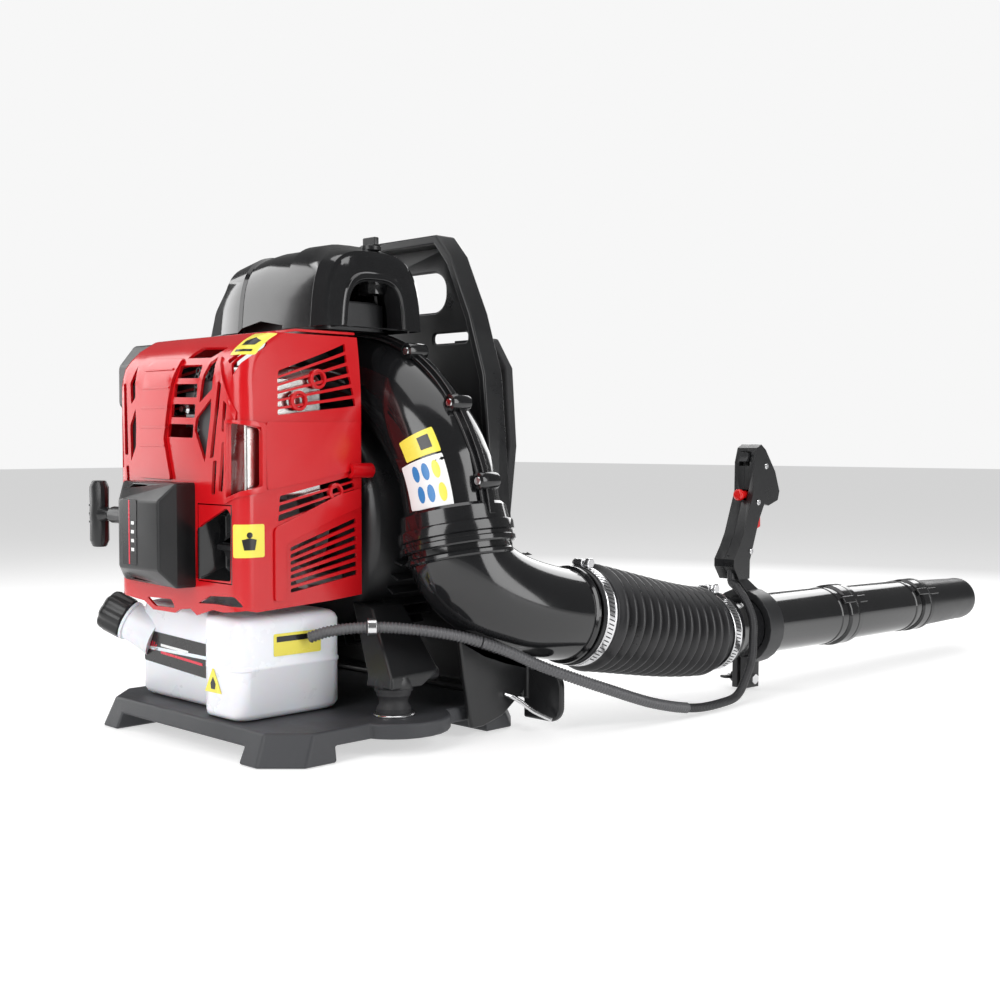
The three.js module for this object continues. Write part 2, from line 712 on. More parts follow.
function airCleanerCover() {
  const at = (x, profile, lift = 0) => profile.map(([y, z]) => [x, y,
    z + (z > cleanerBottom ? lift : 0)]);
  const outer = hull([
    ...at(cleanerRight, cleanerProfile(0), -3),
    ...at(crankX + 40, cleanerProfile(0), 14),
    ...at(cleanerLeft + 90, cleanerProfile(0), 14),
    ...at(cleanerLeft + 26, cleanerProfile(2), -16),
    [cleanerLeft, cleanerFront + 14, cleanerBottom], [cleanerLeft, cleanerRear - 20, cleanerBottom],
  ]);
  const inner = hull([
    ...at(cleanerRight - shell, cleanerProfile(shell), -3),
    ...at(crankX + 40, cleanerProfile(shell), 14),
    ...at(cleanerLeft + 90, cleanerProfile(shell), 14),
    ...at(cleanerLeft + 30, cleanerProfile(shell + 2), -16),
    [cleanerLeft + 5, cleanerFront + 18, cleanerBottom], [cleanerLeft + 5, cleanerRear - 24,
    cleanerBottom],
  ].map(([x, y, z]) => [x, y, z - (z > cleanerBottom ? 0 : 1)]));
  const archMiddle = (cleanerFront + cleanerRear) / 2 + 5;
  const arch = prism("x", [
    [archMiddle - 29, cleanerBottom - 2], [archMiddle + 29, cleanerBottom - 2],
    [archMiddle + 24, cleanerBottom + 26], [archMiddle - 21, cleanerBottom + 27],
  ], cleanerRight - 20, cleanerRight + 5);
  const boss = rod(knobCentre.clone().setZ(cleanerTop - 24), knobCentre.clone().setZ(knobSeat), 11, 20);
  const stud = rod(knobCentre.clone().setZ(cleanerTop - 40),
    knobCentre.clone().setZ(cleanerTop + 20), 4, 16);
  piece("air_cleaner_cover", cut(join(cut(outer, inner), boss), arch, stud), BLACK_GLOSS);
}

function cleanerKnob() {
  const seat = knobSeat + gap;
  const body = join(
    rod(knobCentre.clone().setZ(seat), knobCentre.clone().setZ(seat + 5), 10, 20),
    block(knobCentre.x - 9, knobCentre.x + 9, knobCentre.y - 3, knobCentre.y + 3, seat, seat + 13),
    rod(knobCentre.clone().setZ(seat - 20), knobCentre.clone().setZ(seat + 1), 3, 12),
  );
  piece("cleaner_knob", body, BLACK_MATTE);
}

// ---------------------------------------------------------------- engine cover
const coverProfile = (shrink, open = 0) => {
  const [front, top] = [coverFront + shrink, coverTop - shrink];
  return [
    [coverRear + open, coverBottom + shrink], [coverRear + open, top], [coverFront + 104, top],
    [coverFront + 34, top - 5], [coverFront + 12 + shrink * 0.4, top - 20], [front, coverTop - 46],
    [front, coverBottom + 14], [front + 5, coverBottom - 12 + shrink],
  ];
};

const recoilX = [recoilLeft, recoilRight];
const recoilZ = [crankZ - 4 - recoilHeight / 2, crankZ - 4 + recoilHeight / 2];
const funnelX = [recoilX[1] + 3, coverRight - 12];
const funnelZ = [crankZ - 46, crankZ + 26];

function engineCover() {
  let body = cut(
    prism("x", coverProfile(0), coverLeft, coverRight),
    prism("x", coverProfile(shell, 1), coverLeft + shell, coverRight - shell),
  );
  // The engine and the fuel line come up through the open floor
  body = cut(body, block(
    coverLeft + 7, coverRight - 7, coverFront + 34, coverRear + 2, coverBottom - 13,
    coverBottom + shell + 1,
  ));
  const bevel = 14;
  for (const [x, side] of [[coverLeft, -1], [coverRight, 1]]) {
    const corner = [[x, coverFront + bevel], [x - side * bevel, coverFront], [x + side,
      coverFront - 1]];
    body = cut(body, prism("z", side > 0 ? corner : corner.reverse(), coverBottom - 20, coverTop + 1));
  }
  const through = [coverFront - 2, coverFront + shell + 12];
  // Windows for the starter and the oil filler
  body = cut(body, block(recoilX[0] - 1, recoilX[1] + 1, ...through, recoilZ[0] - 1, recoilZ[1] + 1));
  body = cut(body, block(funnelX[0] - gap, funnelX[1] + gap, ...through, funnelZ[0] - gap,
    funnelZ[1] + gap));
  // Cooling slots beside the centre column
  const slots = 5;
  for (let i = 0; i < slots; i += 1) {
    const low = 262 + i * 19;
    body = cut(body, block(crankX + 4, crankX + 30, ...through, low, low + 12));
  }
  for (const [x0, x1] of [[crankX + 40, crankX + 56], [coverLeft + 20, coverLeft + 32]]) {
    body = cut(body, block(x0, x1, ...through, 262, 340));
  }
  // Window over the silencer at the corner
  body = cut(body, block(coverRight - 18, coverRight + 2, coverFront - 2, coverFront + 18, 230, 292));
  // Louvres in the right side, and the same in the left
  const sideCuts = (x0, x1) => {
    for (let i = 0; i < 4; i += 1) {
      const low = 300 + i * 14;
      body = cut(body, block(x0, x1, coverFront + 38, coverRear - 28, low, low + 7));
    }
    for (let i = 0; i < 5; i += 1) {
      const low = 146 + i * 12;
      body = cut(body, block(x0, x1, coverFront + 56, coverRear - 8, low, low + 6));
    }
  };
  sideCuts(coverRight - shell - 1, coverRight + 1);
  sideCuts(coverLeft - 1, coverLeft + shell + 1);
  // Opening on the left where the intake cover joins
  body = cut(body, block(
    coverLeft - 1, coverLeft + shell + 1, intakeFront + 8, intakeRear - 4, intakeLow - 10,
    intakeHigh - 20,
  ));
  // Screw lug at the rear of the right side
  const lug = V(coverRight + 4, coverRear + 3, 248);
  body = join(body, rod(lug.clone().setY(coverRear - 14), lug.clone().setY(fanFront - gap), 7, 16));
  piece("engine_cover", body, RED);
}

function meshScreen() {
  const back = coverFront + shell + gap;
  const body = join(
    block(crankX + 36, crankX + 60, back, back + 2, 256, 328),
    block(coverLeft + 18, coverLeft + 34, back, back + 2, 256, 328),
    block(coverLeft + 18, crankX + 60, back, back + 2, 246, 256),
  );
  piece("mesh_screen", body, BLACK_MATTE);
}

function oilFiller() {
  const [x0, x1, z0, z1] = [...funnelX, ...funnelZ];
  const depth = 28;
  let body = block(x0, x1, coverFront, coverFront + depth, z0, z1);
  body = cut(body, hull([
    [x0 + 3, coverFront - 1, z0 + 3], [x1 - 3, coverFront - 1, z0 + 3],
    [x0 + 3, coverFront - 1, z1 - 3], [x1 - 3, coverFront - 1, z1 - 3],
    [x0 + 10, coverFront + depth - 4, z0 + 12], [x1 - 10, coverFront + depth - 4, z0 + 12],
    [x0 + 10, coverFront + depth - 4, z1 - 14], [x1 - 10, coverFront + depth - 4, z1 - 14],
  ]));
  piece("oil_filler_funnel", body, BLACK_MATTE);
  const centre = V((x0 + x1) / 2, coverFront + depth - 4 - gap, (z0 + z1) / 2 - 4);
  const cap = join(
    rod(centre, centre.clone().setY(centre.y - 7), 12, 20),
    block(centre.x - 11, centre.x + 11, centre.y - 14, centre.y - 6, centre.z - 2.5, centre.z + 2.5),
  );
  piece("oil_cap", cap, BLACK_MATTE);
}

// ---------------------------------------------------------------- recoil starter
function recoilHousing() {
  const [x0, x1, z0, z1] = [...recoilX, ...recoilZ];
  const slope = 16;
  const outer = hull([
    [x0, recoilRear, z0], [x1, recoilRear, z0], [x0, recoilRear, z1], [x1, recoilRear, z1],
    [x0, coverFront - 6, z0], [x1, recoilFront + slope, z0],
    [x0, coverFront - 6, z1], [x1, recoilFront + slope, z1],
    [x0 + 42, recoilFront, z0 + slope], [x1 - 5, recoilFront, z0 + slope],
    [x0 + 42, recoilFront, z1 - slope], [x1 - 5, recoilFront, z1 - slope],
  ]);
  const inner = join(
    block(x0 + 30, x1 - shell, recoilFront + slope + 2, recoilRear + 1, z0 + shell, z1 - shell),
    block(x0 + shell, x1 - shell, coverFront, recoilRear + 1, z0 + shell, z1 - shell),
  );
  const stud = rod(
    V(crankX, recoilFront + slope, crankZ), V(crankX, recoilFront + slope + 8 + reelWidth, crankZ),
    6, 16,
  );
  const guide = rod(V(guideEnd, ropeY, ropeZ), V(x0 + 28, ropeY, ropeZ), 8, 16);
  const ropeHole = rod(V(guideEnd - 1, ropeY, ropeZ), V(x0 + 32, ropeY, ropeZ), 3.5, 16);
  piece("recoil_housing", cut(join(cut(outer, inner), stud, guide), ropeHole), BLACK_GLOSS);
}

const reelFront = recoilFront + 16 + 5;
const ropeY = coverFront - 10;
const ropeZ = crankZ + 10;
const guideEnd = recoilLeft - 12;
const gripX = guideEnd - gap; // the starter grip's inner end

function starterReel() {
  const [front, rear] = [reelFront, reelFront + reelWidth];
  let body = join(
    rod(onCrank(front), onCrank(front + 3), reelRadius + 3, 32),
    rod(onCrank(rear - 3), onCrank(rear), reelRadius + 3, 32),
    rod(onCrank(front), onCrank(rear), reelRadius - 4, 32),
  );
  body = cut(body, rod(onCrank(front - 1), onCrank(rear + 1), 6 + running, 20));
  piece("starter_reel", body, GREY_PLASTIC);
}

function starterHandle() {
  const stem = rod(V(gripX, ropeY, ropeZ), V(gripX - 16, ropeY, ropeZ), 7, 16, 8);
  const bar = new THREE.BoxGeometry(16, 20, 62);
  bar.rotateY(radians(14)).translate(gripX - 23, ropeY, ropeZ);
  piece("starter_handle", join(stem, solid(bar)), BLACK_MATTE);
}

// ---------------------------------------------------------------- fuel tank
const tankLow = baseTop + gap;
const tankTop = tankLow + tankHeight;
const fillAxis = V(-0.72, -0.5, 0.42).normalize();
const fillNeck = V(tankLeft + 2, tankFront + tankStep + 3, tankTop - 28);

function fuelTank() {
  const stepX = 18;
  const outline = [
    [tankLeft + 14, tankRear], [tankLeft, tankRear - 14],
    [tankLeft, tankFront + tankStep + 12], [tankLeft + 12, tankFront + tankStep],
    [stepX - 6, tankFront + tankStep], [stepX + 6, tankFront], [tankRight - 14, tankFront],
    [tankRight, tankFront + 14], [tankRight, tankRear],
  ];
  let body = prism("z", outline, tankLow, tankTop);
  body = join(body, rod(
    fillNeck.clone().addScaledVector(fillAxis, -14), fillNeck.clone().addScaledVector(fillAxis, 16),
    capRadius - 4, 20,
  ));
  const bottom = tankLow + shell;
  const inside = [
    [tankLeft + 16, tankRear - shell], [tankLeft + shell, tankRear - 16],
    [tankLeft + shell, tankFront + tankStep + 16],
    [tankLeft + 16, tankFront + tankStep + shell], [stepX - 4, tankFront + tankStep + shell],
    [stepX + 8, tankFront + shell], [tankRight - 16, tankFront + shell],
    [tankRight - shell, tankFront + 16], [tankRight - shell, tankRear - shell],
  ];
  body = cut(body, prism("z", inside, bottom, tankTop - shell));
  body = cut(body, rod(
    fillNeck.clone().addScaledVector(fillAxis, -20), fillNeck.clone().addScaledVector(fillAxis, 17),
    capRadius - 8, 20,
  ));
  piece("fuel_tank", body, TANK_WHITE);

  const seat = fillNeck.clone().addScaledVector(fillAxis, 16 + gap);
  let cap = turned(
    [[0, 0], [capRadius, 0], [capRadius, capLength - 5], [capRadius - 5, capLength], [0, capLength]],
    seat, fillAxis, 16,
  );
  cap = join(cap, rod(seat.clone().addScaledVector(fillAxis, -12),
    seat.clone().addScaledVector(fillAxis, 1),
    capRadius - 8 - running, 20));
  piece("fuel_cap", cap, BLACK_MATTE);
}

function fuelLine() {
  const top = carbZ - 17 - 16 - gap * 2;
  const x = carbLeft + 8;
  piece("fuel_line", cable([
    [x - 6, tankRear - 16, tankTop + gap * 2], [x - 6, tankRear - 16, tankTop + 30],
    [x + 4, tankRear - 24, tankTop + 90], [x, carbY, top - 20], [x, carbY, top],
  ], 3, 8, 16), FOAM);
}

// ---------------------------------------------------------------- backrest and harness
function backrestFrame() {
  const [front, back] = [backrestFront, backrestFront + backrestThick];
  const bottom = baseTop + gap;
  const outline = [
    [-backrestHalf, bottom], [backrestHalf, bottom], [backrestHalf + 8, 120], [backrestHalf - 12,
    backrestShoulder],
    [backrestTopHalf + 48, 400], [backrestTopHalf + 20, backrestTop - 22], [backrestTopHalf,
    backrestTop],
    [-backrestTopHalf, backrestTop], [-backrestTopHalf - 20, backrestTop - 22],
    [-backrestTopHalf - 48, 400],
    [-backrestHalf + 12, backrestShoulder], [-backrestHalf - 8, 120],
  ];
  const besideBase = baseWidth / 2 + baseFlare / 3 + 2;
  let wings = prism("y", roundedRectangle(-wingHalf, wingHalf, wingLow, wingHigh, 16), back - 1,
    back + 6);
  wings = cut(wings, block(-besideBase, besideBase, back - 2, back + 7, 0, bottom));
  let body = join(prism("y", outline, back - 4, back), wings);
  const inset = outline.map(([x, z]) => [x * 0.94, bottom + (z - bottom) * 0.97 + 4]);
  const rim = cut(prism("y", outline, back - flangeDepth, back), prism("y", inset,
    back - flangeDepth - 1, back - 3));
  body = join(body, rim);
  // Carrying handle opening below the top edge, and the two slots for the shoulder straps
  const handle = roundedRectangle(-52, 52, backrestTop - 74, backrestTop - 34, 18);
  body = cut(body, prism("y", handle, back - flangeDepth - 2, back + 2));
  for (const side of [-1, 1]) {
    const slot = roundedRectangle(...mirrored(side, 34, 84), backrestTop - 106, backrestTop - 96, 4);
    body = cut(body, prism("y", slot, back - flangeDepth - 2, back + 2));
  }
  // Side gussets that curve forward from the base to the backrest
  for (const side of [-1, 1]) {
    const web = prism("x", [
      [back - 75, wingLow], [back - 60, wingLow], [back - 34, wingLow + 7], [back - 8, wingLow + 25],
      [back, wingLow + 52], [back, 168], [back - 30, 168], [back - 66, 128], [back - 90, 90],
      [back - 85, 56],
    ], ...mirrored(side, besideBase, besideBase + 6));
    const tie = block(...mirrored(side, backrestHalf - 10, besideBase + 6), back - 8, back, bottom,
      168);
    body = join(body, web, tie);
  }
  // Room for the elbow, which also swings inwards
  body = cut(body, ...elbowRoom());
  // Seat on the base plate
  const seatRear = baseDepth / 2;
  body = join(body, block(-backrestHalf, backrestHalf, back - flangeDepth, seatRear, bottom,
    bottom + 6));
  piece("backrest_frame", body, BLACK_MATTE);

  for (const [side, name] of [[-1, "left"], [1, "right"]]) {
    const x = crankX + side * 70;
    piece(`upper_mount_${name}`, rod(V(x, fanRear + gap, 262), V(x, back - 4 - gap, 262), 13, 20),
      RUBBER);
  }
}

function backPad() {
  const front = backrestFront + backrestThick + gap;
  const body = hull([
    [-104, front, 140], [104, front, 140], [-112, front, 330], [112, front, 330], [-70, front, 366],
    [70, front, 366],
    [-92, front + 16, 152], [92, front + 16, 152], [-98, front + 16, 322], [98, front + 16, 322],
    [-60, front + 16, 352], [60, front + 16, 352],
  ]);
  piece("back_pad", body, FOAM);
}

/** Bent wire loops at the foot of the backrest that the straps' tails hook into. */
function strapHooks() {
  const from = baseWidth / 2 + baseFlare / 3 + 2 + 6 + gap; // the outer face of the gussets
  for (const [side, name] of [[-1, "left"], [1, "right"]]) {
    const loop = [[0.4, 106, 35], [4, 106, 35], [13, 116, 27], [20, 122, 20], [36, 132, 12]];
    const route = loop.map(([out, y, z]) => [side * (from + out), y, z]);
    piece(`strap_hook_${name}`, cable(route, hookRadius, 8, 8), STEEL);
  }
}

const strapRoute = [
  [163, backrestTop - 101], [184, 350], [190, 270], [180, 190], [164, 120],
];

function shoulderStraps() {
  const half = 28;
  const thick = 12;
  for (const [side, name] of [[-1, "left"], [1, "right"]]) {
    const x = mirrored(side, 59 - half, 59 + half);
    const back = strapRoute.map(([y, z]) => [y + thick, z]).reverse();
    const body = prism("x", [...strapRoute, ...back].map(([y, z]) => [y, z]).reverse(), ...x);
    const tail = block(x[0] + 10, x[1] - 10, strapRoute[4][0] + 3, strapRoute[4][0] + 6, 52, 121);
    piece(`shoulder_strap_${name}`, join(body, tail), FOAM);
  }
}

// ---------------------------------------------------------------- elbow, hose and tubes
const elbowEnd = V(outlet.x + elbowOut, outlet.y + elbowForward, outlet.z - elbowDrop);
const hoseEnd = V(elbowEnd.x + hoseAside, elbowEnd.y + hoseRun, elbowEnd.z - hoseDrop);
const tubeAxis = V(0, Math.cos(radians(tubeTilt)), -Math.sin(radians(tubeTilt)));
const mouthAxis = V(hoseAside / hoseRun, 1, -hoseDrop / hoseRun).normalize();

/** The space that the elbow takes at rest and at its inner limit. */
function elbowRoom() {
  const clearance = 6;
  const room = bent(elbowCurve, () => elbowRadius + clearance, 12, 6, AXES.x);
  const inwards = (swing) => {
    const turn = new THREE.Matrix4().makeRotationAxis(outletAxis, radians(swing));
    const move = new THREE.Matrix4().makeTranslation(outlet).multiply(turn);
    const back = new THREE.Matrix4().makeTranslation(outlet.clone().negate());
    return room.transform(move.multiply(back).elements);
  };
  return [room, inwards(-elbowSwingIn), inwards(-elbowSwingIn / 2)];
}

const elbowCurve = new THREE.CubicBezierCurve3(
  outletAt(collarHeight * 0.4 + 2),
  outletAt(collarHeight * 0.4 + 42),
  elbowEnd.clone().addScaledVector(mouthAxis, -66),
  elbowEnd,
);
const hoseCurve = new THREE.CubicBezierCurve3(
  elbowEnd.clone().addScaledVector(mouthAxis, gap + 3),
  elbowEnd.clone().addScaledVector(mouthAxis, 80),
  hoseEnd.clone().addScaledVector(tubeAxis, -80),
  hoseEnd,
);

function elbow() {
  const neckFrom = outletAt(-collarHeight * 0.35 + gap);
  const spigotEnd = elbowEnd.clone().addScaledVector(mouthAxis, cuffLength);
  const lipBack = elbowEnd.clone().addScaledVector(mouthAxis, -5);
  const [sides, steps] = [16, 9];
  /** The bend between two straight ends, as one curve. */
  const between = (from, to) => {
    const path = new THREE.CurvePath();
    path.add(new THREE.LineCurve3(from, elbowCurve.v0));
    path.add(elbowCurve);
    path.add(new THREE.LineCurve3(elbowEnd, to));
    return path;
  };
  const spigotRadius = elbowEndRadius - 2;
  const bendShare = 0.85; // of the whole length, up to the spigot
  const outerAt = (t) => THREE.MathUtils.lerp(elbowRadius, spigotRadius, Math.min(t / bendShare, 1));
  const outer = join(
    bent(between(neckFrom, spigotEnd), outerAt, sides, steps, AXES.x),
    rod(lipBack, elbowEnd, elbowEndRadius + 3),
  );
  const bore = bent(
    between(outletAt(-collarHeight), spigotEnd.clone().addScaledVector(mouthAxis, 3)),
    (t) => outerAt(t) - elbowWall - 0.4, sides, steps, AXES.x,
  );
  piece("elbow", cut(outer, bore), BLACK_GLOSS);
}

function hose() {
  const length = hoseCurve.getLength();
  const [cuff, endCuff] = [cuffLength / length, 30 / length];
  const ribSpan = 1 - cuff - endCuff;
  const inner = (t) => THREE.MathUtils.lerp(
    elbowEndRadius - 2 + cuffClearance, hoseEndRadius - hoseWall,
    THREE.MathUtils.clamp((t - cuff) / ribSpan, 0, 1),
  );
  const steps = hoseRibs * 2;
  const radiusAt = (t) => {
    if (t < cuff || t > 1 - endCuff) return inner(t) + hoseWall;
    const wave = ((t - cuff) / ribSpan) * hoseRibs;
    const crest = 0.5 - 0.5 * Math.cos(wave * Math.PI * 2);
    return inner(t) + hoseWall + ribHeight * crest;
  };
  const stations = [0, cuff - 0.001];
  for (let i = 0; i <= steps; i += 1) stations.push(cuff + (ribSpan * i) / steps);
  stations.push(1 - endCuff + 0.001, 1);
  const bar = (radius, places) => {
    const at = (t) => places[Math.round(t * (places.length - 1))];
    const stretched = { // the curve with its stations gathered at the ribs
      getPointAt: (t) => hoseCurve.getPointAt(at(t)),
      getTangentAt: (t) => hoseCurve.getTangentAt(at(t)),
    };
    return bent(stretched, (t) => radius(at(t)), 14, places.length - 1, AXES.x);
  };
  const boreStations = Array.from({ length: 9 }, (_, i) => i / 8);
  const reach = 3;
  const [start, end] = [hoseCurve.getPointAt(0), hoseCurve.getPointAt(1)];
  const core = join(
    bar(inner, boreStations),
    rod(start.clone().addScaledVector(hoseCurve.getTangentAt(0), -reach), start, inner(0), 14),
    rod(end, end.clone().addScaledVector(hoseCurve.getTangentAt(1), reach), inner(1), 14),
  );
  piece("hose", cut(bar(radiusAt, stations), core), BLACK_MATTE);
}

const tubes = new THREE.Group();
tubes.position.copy(hoseEnd);
tubes.rotation.x = -radians(tubeTilt);
machine.add(tubes);
const alongTube = (s, x = 0, z = 0) => V(x, s, z);

function hoseClamps() {
  const clampRadius = elbowEndRadius - 2 + cuffClearance + hoseWall + 2 * gap;
  const from = elbowEnd.clone().addScaledVector(mouthAxis, 6);
  const to = elbowEnd.clone().addScaledVector(mouthAxis, 20);
  const top = from.clone().add(V(0, 7, clampRadius + 4));
  const screw = block(top.x - 11, top.x + 11, top.y - 5, top.y + 5, top.z - 4.6, top.z + 5);
  piece("hose_clamp_large", join(pipe(from, to, clampRadius + 1.2, clampRadius), screw), STEEL);

  const small = hoseEndRadius + 3 * gap;
  let band = pipe(alongTube(-20), alongTube(-8), small + 1.2, small);
  band = join(band, block(-11, 11, -19, -9, small + 0.5, small + 10));
  piece("hose_clamp_small", band, STEEL, tubes);
}

/** One blowing tube: its own spigot goes into the tube behind it. */
function swivelPipe() {
  const spigot = hoseEndRadius - hoseWall - 1.5 * cuffClearance;
  const outer = [
    [0, -24], [spigot, -24], [spigot, 3], [tubeRadius + 0.4, 22], [tubeRadius, 24],
    [tubeRadius, swivelLength - 16], [tubeRadius + 2.5, swivelLength - 14],
    [tubeRadius + 2.5, swivelLength], [0, swivelLength],
  ];
  const inner = tubeRadius - tubeWall;
  const body = cut(turned(outer, V(0, 0, 0), AXES.y), rod(alongTube(-25),
    alongTube(swivelLength + 1), inner));
  const lugs = join(body, block(-5, 5, swivelLength - 34, swivelLength - 16, inner + 1,
    tubeRadius + 4));
  piece("swivel_pipe", lugs, BLACK_GLOSS, tubes);
}

const straightRadius = tubeRadius - 1.2;
const straightFrom = swivelLength + gap;
const straightTo = straightFrom + straightLength;
const straightEnd = straightRadius - 1.5;
const nozzleFrom = straightTo + gap;
const nozzleTo = nozzleFrom + nozzleLength;

function straightPipe() {
  const spigot = tubeRadius - tubeWall - running;
  const outer = [
    [0, straightFrom - jointOverlap], [spigot, straightFrom - jointOverlap], [spigot, straightFrom],
    [tubeRadius + 2.5, straightFrom], [tubeRadius + 2.5, straightFrom + 9], [straightRadius,
    straightFrom + 11],
    [straightEnd, straightTo - 16], [straightEnd + 2.5, straightTo - 14], [straightEnd + 2.5,
    straightTo],
    [0, straightTo],
  ];
  const boreRadius = straightEnd - tubeWall;
  let body = cut(
    turned(outer, V(0, 0, 0), AXES.y),
    rod(alongTube(straightFrom - jointOverlap - 1), alongTube(straightTo + 1), boreRadius),
  );
  body = join(body, block(-5, 5, straightFrom + 8, straightFrom + 26, straightEnd - 1, tubeRadius + 4));
  piece("straight_pipe", body, BLACK_GLOSS, tubes);
}

function nozzle() {
  const spigot = straightEnd - tubeWall - running;
  const front = nozzleFrom + 9;
  const outer = [
    [0, nozzleFrom - jointOverlap], [spigot, nozzleFrom - jointOverlap], [spigot, nozzleFrom],
    [straightEnd + 2.5, nozzleFrom], [straightEnd + 2.5, front], [straightEnd - 1, front + 2],
    [nozzleTipRadius, nozzleTo - 4], [nozzleTipRadius - 1.5, nozzleTo], [0, nozzleTo],
  ];
  const body = cut(
    turned(outer, V(0, 0, 0), AXES.y),
    rod(alongTube(nozzleFrom - jointOverlap - 1), alongTube(nozzleTo + 1), nozzleTipRadius - 3.6),
  );
  const lug = block(-4, 4, front - 1, front + 10, straightEnd - 3, straightEnd + 3.5);
  piece("nozzle", join(body, cut(lug, rod(alongTube(0), alongTube(nozzleTo), straightEnd - 2.6))),
    GREY_PLASTIC, tubes);
}

// ---------------------------------------------------------------- control handle
// Sizes in this part are in the tubes' own frame: y along them, z up from their axis.
const ringInner = tubeRadius + gap;
const ringOuter = ringInner + bracketThick;
const groundBelow = hoseEnd.z - Math.sin(radians(tubeTilt)) * (bracketAt + bracketWidth / 2);
const lugHalf = 9;
const neckRadius = 5.5;
const neckLow = V(0, bracketAt - 19, ringOuter + 10);
const neckHigh = V(0, bracketAt - 24, ringOuter + 34);
const lugBottom = -(groundBelow - 1.2);
const gripBottom = ringOuter + 12;

function handleBracket() {
  const [from, to] = [bracketAt - bracketWidth / 2, bracketAt + bracketWidth / 2];
  let body = join(
    rod(alongTube(from), alongTube(to), ringOuter),
    block(-lugHalf, lugHalf, from, to, lugBottom, -ringInner),
    hull([
      [-10, from, ringInner + 4], [10, from, ringInner + 4], [-10, to, ringInner + 4], [10, to,
      ringInner + 4],
      [-6, bracketAt - 26, gripBottom - gap], [6, bracketAt - 26, gripBottom - gap],
      [-6, bracketAt - 8, gripBottom - gap], [6, bracketAt - 8, gripBottom - gap],
    ]),
    rod(neckLow, neckHigh, neckRadius, 16),
  );
  body = cut(
    body,
    rod(alongTube(from - 1), alongTube(to + 1), ringInner),
    block(-2, 2, from - 1, to + 1, lugBottom - 1, -ringInner + 1),
    rod(V(-lugHalf - 1, bracketAt, lugBottom + 10), V(lugHalf + 1, bracketAt, lugBottom + 10), 3.3, 16),
  );
  piece("handle_bracket", body, BLACK_MATTE, tubes);

  const bolt = V(0, bracketAt, lugBottom + 10);
  const screw = join(
    rod(V(lugHalf + gap, bolt.y, bolt.z), V(lugHalf + 5, bolt.y, bolt.z), 6, 6),
    rod(V(-lugHalf - 14, bolt.y, bolt.z), V(lugHalf + 1, bolt.y, bolt.z), 2.8, 16),
  );
  piece("clamp_bolt", screw, STEEL, tubes);
  const nutFrom = -lugHalf - gap;
  let nut = rod(V(nutFrom, bolt.y, bolt.z), V(nutFrom - 8, bolt.y, bolt.z), 6, 16);
  for (const side of [-1, 1]) {
    nut = join(nut, hull([
      [nutFrom - 2, bolt.y + side * 3, bolt.z - 2], [nutFrom - 2, bolt.y + side * 3, bolt.z + 2],
      [nutFrom - 7, bolt.y + side * 3, bolt.z - 2], [nutFrom - 7, bolt.y + side * 3, bolt.z + 2],
      [nutFrom - 9, bolt.y + side * 15, bolt.z - 1.5], [nutFrom - 9, bolt.y + side * 15, bolt.z + 1.5],
      [nutFrom - 16, bolt.y + side * 13, bolt.z - 1.5], [nutFrom - 16, bolt.y + side * 13,
      bolt.z + 1.5],
    ]));
  }
  nut = cut(nut, rod(V(nutFrom + 1, bolt.y, bolt.z), V(nutFrom - 20, bolt.y, bolt.z), 2.8 + gap, 16));
  piece("wing_nut", nut, STEEL, tubes);
}

// The grip's outline: [along the tubes, up], from its lower rear corner round the front
const gripOutline = [
  [bracketAt - 44, gripBottom + 22], [bracketAt - 44, gripBottom + 14], [bracketAt - 34, gripBottom],
  [bracketAt - 14, gripBottom], [bracketAt - 14, gripBottom + 20], [bracketAt + 2, gripBottom + 64],
  [bracketAt + 12, gripBottom + 82], [bracketAt + 20, gripBottom + 80], [bracketAt + 38,
  gripBottom + 86],
  [bracketAt + 41, gripBottom + 96], [bracketAt + 32, gripBottom + 118], [bracketAt + 13,
  gripBottom + 142],
  [bracketAt + 4, gripBottom + 148], [bracketAt - 4, gripBottom + 144], [bracketAt - 9,
  gripBottom + 128],
  [bracketAt - 9, gripBottom + 96], [bracketAt - 26, gripBottom + 50], [bracketAt - 34,
  gripBottom + 36],
];
const triggerPivot = V(0, bracketAt + 10, gripBottom + 88);
const lockAt = V(0, bracketAt - 12, gripBottom + 92);
const switchAt = V(0, bracketAt - 9, gripBottom + 134);

function gripShells() {
  const full = join(
    prism("x", gripOutline, -gripHalf, gripHalf),
  );
  const pocket = prism("x", [
    [bracketAt - 2, gripBottom + 60], [bracketAt + 14, gripBottom + 60], [bracketAt + 26,
    gripBottom + 78],
    [bracketAt + 24, gripBottom + 108], [bracketAt - 2, gripBottom + 108],
  ], -5, 5);
  const lockPocket = block(-6, 6, bracketAt - 24, bracketAt - 1, gripBottom + 86, gripBottom + 98);
  const switchPocket = block(-7, 7, bracketAt - 14, bracketAt - 1, gripBottom + 124, gripBottom + 140);
  const neckUp = neckHigh.clone().sub(neckLow).normalize();
  const neck = rod(neckLow, neckHigh.clone().addScaledVector(neckUp, gap * 2), neckRadius + gap, 16);
  const entry = rod(
    V(sleeveEntry[0], sleeveEntry[1], gripBottom - 10), V(sleeveEntry[0], sleeveEntry[1],
    gripBottom + 26), sleeveRadius + gap, 12,
  );
  const body = cut(full, pocket, lockPocket, switchPocket, neck, entry);
  const far = 400;
  piece("grip_left", body.intersect(block(-far, -gap / 2, -far, far, -far, far)), BLACK_MATTE, tubes);
  piece("grip_right", body.intersect(block(gap / 2, far, -far, far, -far, far)), BLACK_MATTE, tubes);
}

